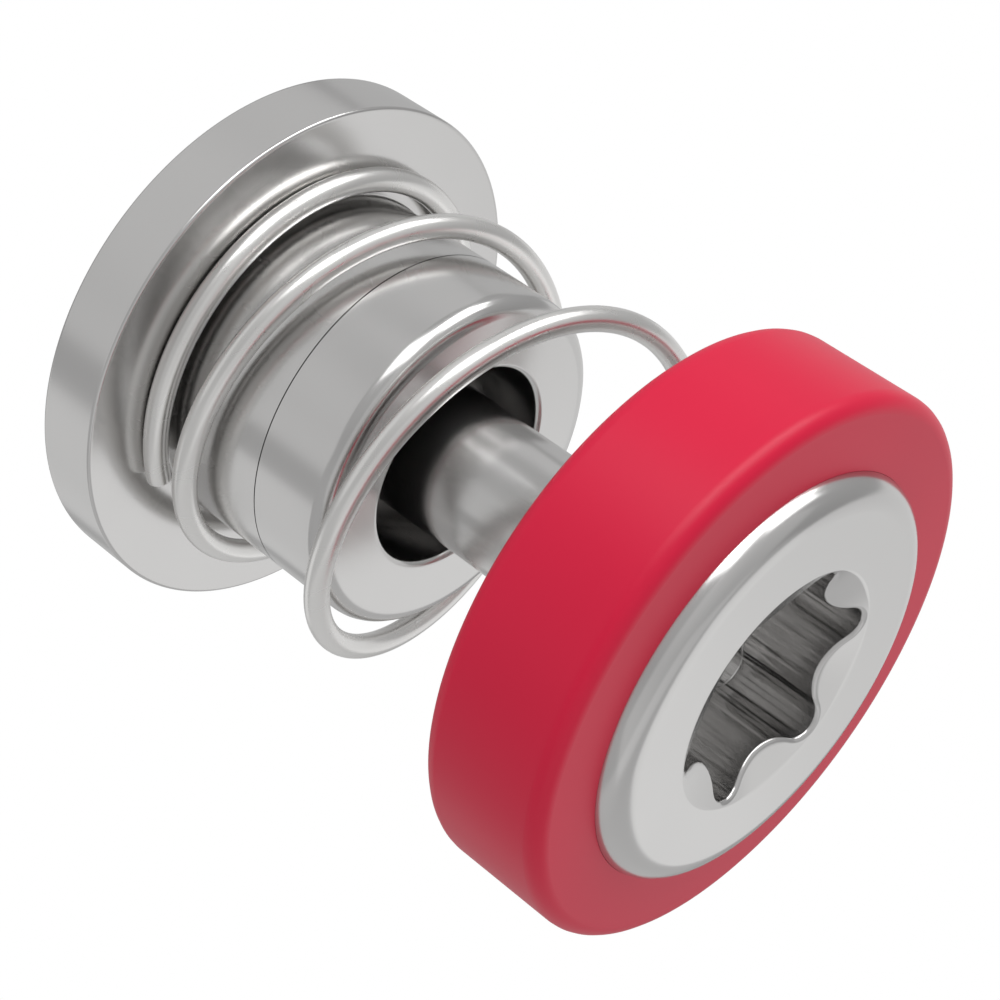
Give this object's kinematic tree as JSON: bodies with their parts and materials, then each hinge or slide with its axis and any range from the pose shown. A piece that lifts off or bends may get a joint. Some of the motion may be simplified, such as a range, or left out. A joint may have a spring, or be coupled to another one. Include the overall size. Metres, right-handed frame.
{
  "type": "captive panel screw",
  "caption": "Spring-loaded captive screw floating in a flanged press-in retainer, with a round plastic grip and a six-lobe recess in its head.",
  "frame": {"origin": "centre of the flange's underside, the face that seats on the panel", "axes": "+Z along the screw towards its head; +X through one lobe of the recess"},
  "size_m": [0.0092, 0.0092, 0.0126],
  "materials": {
    "retainer_steel": "satin",
    "collar_steel": "satin",
    "screw_steel": "satin",
    "grip_plastic": "satin",
    "spring_wire": "drawn"
  },
  "bodies": {
    "retainer": {"retainer": "retainer_steel", "retainer_collar": "collar_steel"},
    "spring": {"spring": "spring_wire"},
    "screw": {"screw": "screw_steel", "grip": "grip_plastic"}
  },
  "joints": [
    {"name": "press", "type": "slide", "parent": "retainer", "child": "spring", "axis": [0, 0, -1], "range_m": [0, 0.00385], "stiffness_N_per_m": 190, "springref_m": -0.0005, "deforming": ["spring"]},
    {"name": "spin", "type": "hinge", "parent": "spring", "child": "screw", "pos_m": [0, 0, 0], "axis": [0, 0, 1], "continuous": true}
  ]
}
